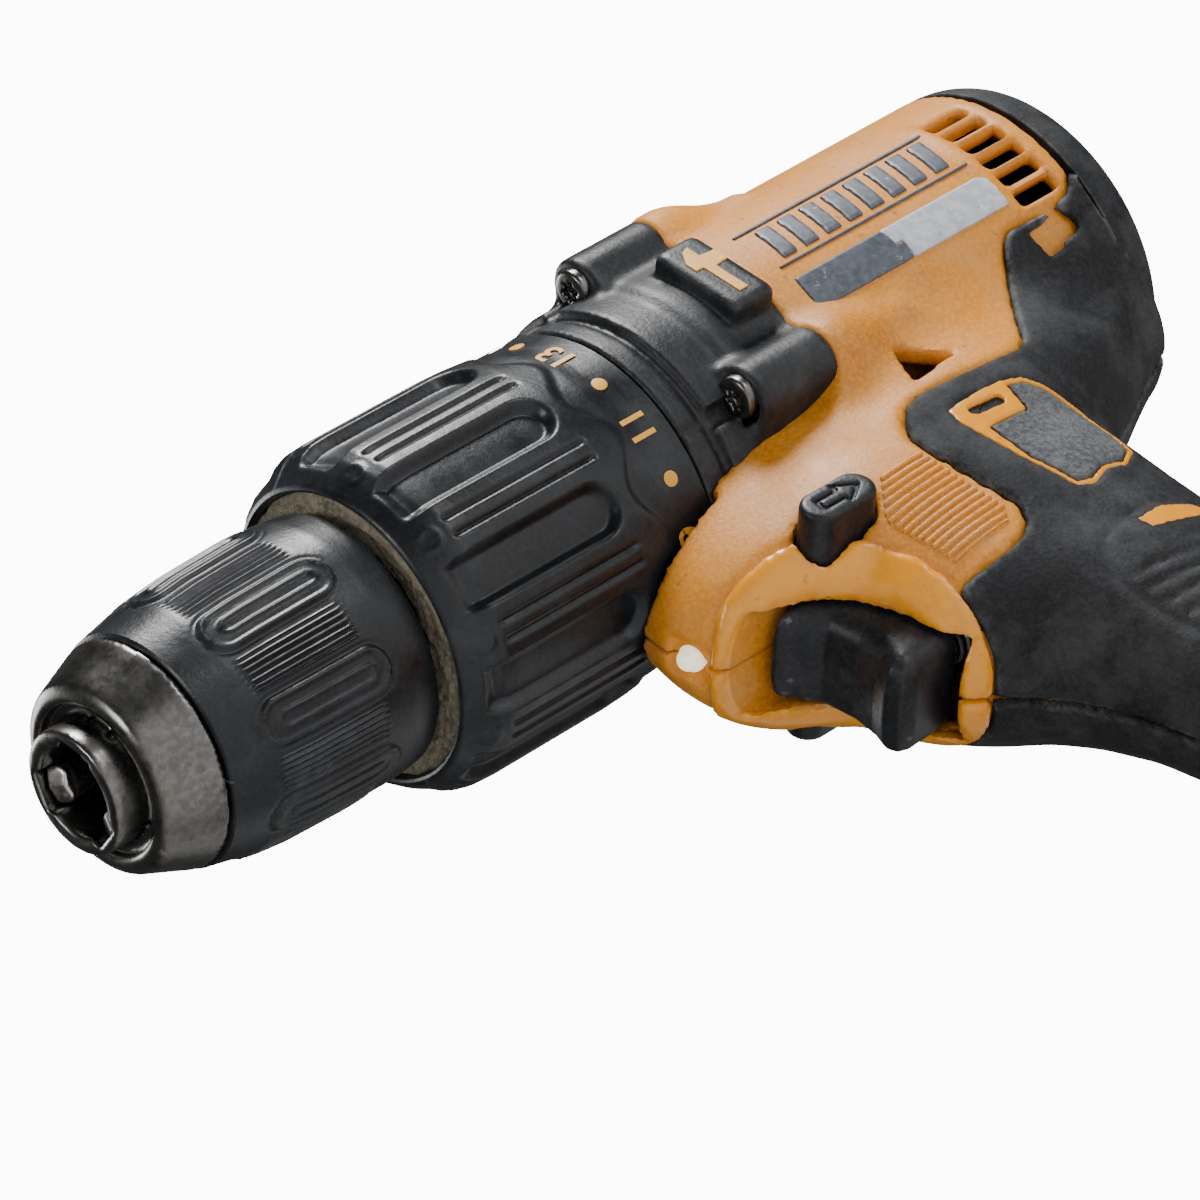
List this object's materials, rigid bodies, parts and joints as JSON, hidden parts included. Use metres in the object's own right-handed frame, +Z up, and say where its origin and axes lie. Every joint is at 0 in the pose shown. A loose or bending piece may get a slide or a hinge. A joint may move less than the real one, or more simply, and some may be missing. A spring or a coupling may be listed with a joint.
{
  "type": "cordless hammer drill",
  "caption": "Compact cordless hammer drill with keyless chuck, numbered clutch collar, gear train, trigger grip and a slide-on battery pack.",
  "frame": {"origin": "centre of the battery pack's flat base", "axes": "chuck points along -Y, the tool's left side is +X, +Z up"},
  "size_m": [0.075, 0.1991, 0.1994],
  "materials": {
    "yellow": "moulded, fine texture",
    "black_plastic": "moulded, fine spark texture",
    "soft_grip": "soft overmould, fine texture",
    "steel": "ground",
    "chuck_steel": "turned, satin",
    "dark_steel": "blackened",
    "winding": "enamelled",
    "board": "board lacquer",
    "lens": "clear",
    "cell": "sleeve"
  },
  "bodies": {
    "tool_body": {"housing_left": "yellow", "housing_right": "yellow", "grip_left": "soft_grip", "grip_right": "soft_grip", "rear_cap": "soft_grip", "gear_case": "black_plastic", "gear_case_screw_1": "dark_steel", "gear_case_screw_2": "dark_steel", "gear_case_screw_3": "dark_steel", "gear_case_screw_4": "dark_steel", "housing_screw_1": "dark_steel", "housing_screw_2": "dark_steel", "housing_screw_3": "dark_steel", "housing_screw_4": "dark_steel", "housing_screw_5": "dark_steel", "ring_gear": "steel", "ratchet_fixed": "steel", "spindle_bearing": "steel", "motor_stator": "winding", "motor_bearing": "steel", "clutch_spring": "steel", "trigger_switch": "black_plastic", "trigger_spring": "steel", "control_board": "board", "terminal_block": "black_plastic", "work_light_lens": "lens", "work_light_board": "board"},
    "output_spindle": {"spindle": "steel", "ratchet_moving": "steel", "chuck_body": "chuck_steel", "chuck_screw": "dark_steel"},
    "motor_shaft": {"motor_rotor": "steel", "motor_fan": "black_plastic"},
    "first_carrier": {"first_carrier": "steel"},
    "first_planet_1": {"first_planet_1": "steel"},
    "second_planet_1": {"second_planet_1": "steel"},
    "first_planet_2": {"first_planet_2": "steel"},
    "second_planet_2": {"second_planet_2": "steel"},
    "first_planet_3": {"first_planet_3": "steel"},
    "second_planet_3": {"second_planet_3": "steel"},
    "chuck_sleeve": {"chuck_sleeve": "soft_grip"},
    "chuck_jaw_1": {"chuck_jaw_1": "dark_steel"},
    "chuck_jaw_2": {"chuck_jaw_2": "dark_steel"},
    "chuck_jaw_3": {"chuck_jaw_3": "dark_steel"},
    "clutch_collar": {"clutch_collar": "black_plastic"},
    "trigger": {"trigger": "black_plastic"},
    "direction_lever": {"direction_lever": "black_plastic"},
    "speed_selector": {"speed_selector": "black_plastic"},
    "battery_pack": {"battery_lower_case": "black_plastic", "battery_upper_case": "black_plastic", "battery_board": "board", "battery_latch_spring": "steel", "battery_cell_1": "cell", "battery_cell_2": "cell", "battery_cell_3": "cell", "battery_cell_4": "cell", "battery_cell_5": "cell"},
    "battery_latch": {"battery_latch": "black_plastic"}
  },
  "joints": [
    {"name": "spindle_spin", "type": "hinge", "parent": "tool_body", "child": "output_spindle", "pos_m": [0, -0.092, 0.17], "axis": [0, 1, 0], "continuous": true},
    {"name": "motor_spin", "type": "hinge", "parent": "tool_body", "child": "motor_shaft", "pos_m": [0, -0.092, 0.17], "axis": [0, 1, 0], "continuous": true},
    {"name": "first_carrier_spin", "type": "hinge", "parent": "tool_body", "child": "first_carrier", "pos_m": [0, -0.092, 0.17], "axis": [0, 1, 0], "continuous": true},
    {"name": "first_planet_1_spin", "type": "hinge", "parent": "first_carrier", "child": "first_planet_1", "pos_m": [0, -0.026, 0.1835], "axis": [0, 1, 0], "continuous": true},
    {"name": "second_planet_1_spin", "type": "hinge", "parent": "output_spindle", "child": "second_planet_1", "pos_m": [0, -0.036, 0.1835], "axis": [0, 1, 0], "continuous": true},
    {"name": "first_planet_2_spin", "type": "hinge", "parent": "first_carrier", "child": "first_planet_2", "pos_m": [0.01169, -0.026, 0.16325], "axis": [0, 1, 0], "continuous": true},
    {"name": "second_planet_2_spin", "type": "hinge", "parent": "output_spindle", "child": "second_planet_2", "pos_m": [0.01169, -0.036, 0.16325], "axis": [0, 1, 0], "continuous": true},
    {"name": "first_planet_3_spin", "type": "hinge", "parent": "first_carrier", "child": "first_planet_3", "pos_m": [-0.01169, -0.026, 0.16325], "axis": [0, 1, 0], "continuous": true},
    {"name": "second_planet_3_spin", "type": "hinge", "parent": "output_spindle", "child": "second_planet_3", "pos_m": [-0.01169, -0.036, 0.16325], "axis": [0, 1, 0], "continuous": true},
    {"name": "chuck_sleeve_turn", "type": "hinge", "parent": "output_spindle", "child": "chuck_sleeve", "pos_m": [0, -0.112, 0.17], "axis": [0, 1, 0], "range_deg": [-720, 2160]},
    {"name": "chuck_jaw_1_slide", "type": "slide", "parent": "output_spindle", "child": "chuck_jaw_1", "axis": [-0.2419, -0.9703, 0], "range_m": [-0.004, 0.012]},
    {"name": "chuck_jaw_2_slide", "type": "slide", "parent": "output_spindle", "child": "chuck_jaw_2", "axis": [0.121, -0.9703, 0.2095], "range_m": [-0.004, 0.012]},
    {"name": "chuck_jaw_3_slide", "type": "slide", "parent": "output_spindle", "child": "chuck_jaw_3", "axis": [0.121, -0.9703, -0.2095], "range_m": [-0.004, 0.012]},
    {"name": "clutch_collar_turn", "type": "hinge", "parent": "tool_body", "child": "clutch_collar", "pos_m": [0, -0.072, 0.17], "axis": [0, 1, 0], "range_deg": [-120, 180]},
    {"name": "trigger_pull", "type": "slide", "parent": "tool_body", "child": "trigger", "axis": [0, 1, 0], "range_m": [0, 0.007], "stiffness_N_per_m": 500, "springref_m": -0.004, "deforming": ["trigger_spring"]},
    {"name": "direction_lever_slide", "type": "slide", "parent": "tool_body", "child": "direction_lever", "axis": [-1, 0, 0], "range_m": [0, 0.0044]},
    {"name": "speed_selector_slide", "type": "slide", "parent": "tool_body", "child": "speed_selector", "axis": [0, 1, 0], "range_m": [0, 0.007]},
    {"name": "battery_pack_slide", "type": "slide", "parent": "tool_body", "child": "battery_pack", "axis": [0, -1, 0], "range_m": [0, 0.1]},
    {"name": "battery_latch_press", "type": "slide", "parent": "battery_pack", "child": "battery_latch", "axis": [0, 1, 0], "range_m": [0, 0.004], "stiffness_N_per_m": 600, "springref_m": -0.003, "deforming": ["battery_latch_spring"]}
  ],
  "couplings": [
    {"joint": "motor_spin", "follows": "spindle_spin", "ratio": 25},
    {"joint": "first_carrier_spin", "follows": "spindle_spin", "ratio": 5},
    {"joint": "first_planet_1_spin", "follows": "spindle_spin", "ratio": -13.333},
    {"joint": "second_planet_1_spin", "follows": "spindle_spin", "ratio": -2.6667},
    {"joint": "first_planet_2_spin", "follows": "spindle_spin", "ratio": -13.333},
    {"joint": "second_planet_2_spin", "follows": "spindle_spin", "ratio": -2.6667},
    {"joint": "first_planet_3_spin", "follows": "spindle_spin", "ratio": -13.333},
    {"joint": "second_planet_3_spin", "follows": "spindle_spin", "ratio": -2.6667},
    {"joint": "chuck_jaw_1_slide", "follows": "chuck_sleeve_turn", "m_per_rad": 0.00031831},
    {"joint": "chuck_jaw_2_slide", "follows": "chuck_sleeve_turn", "m_per_rad": 0.00031831},
    {"joint": "chuck_jaw_3_slide", "follows": "chuck_sleeve_turn", "m_per_rad": 0.00031831}
  ]
}
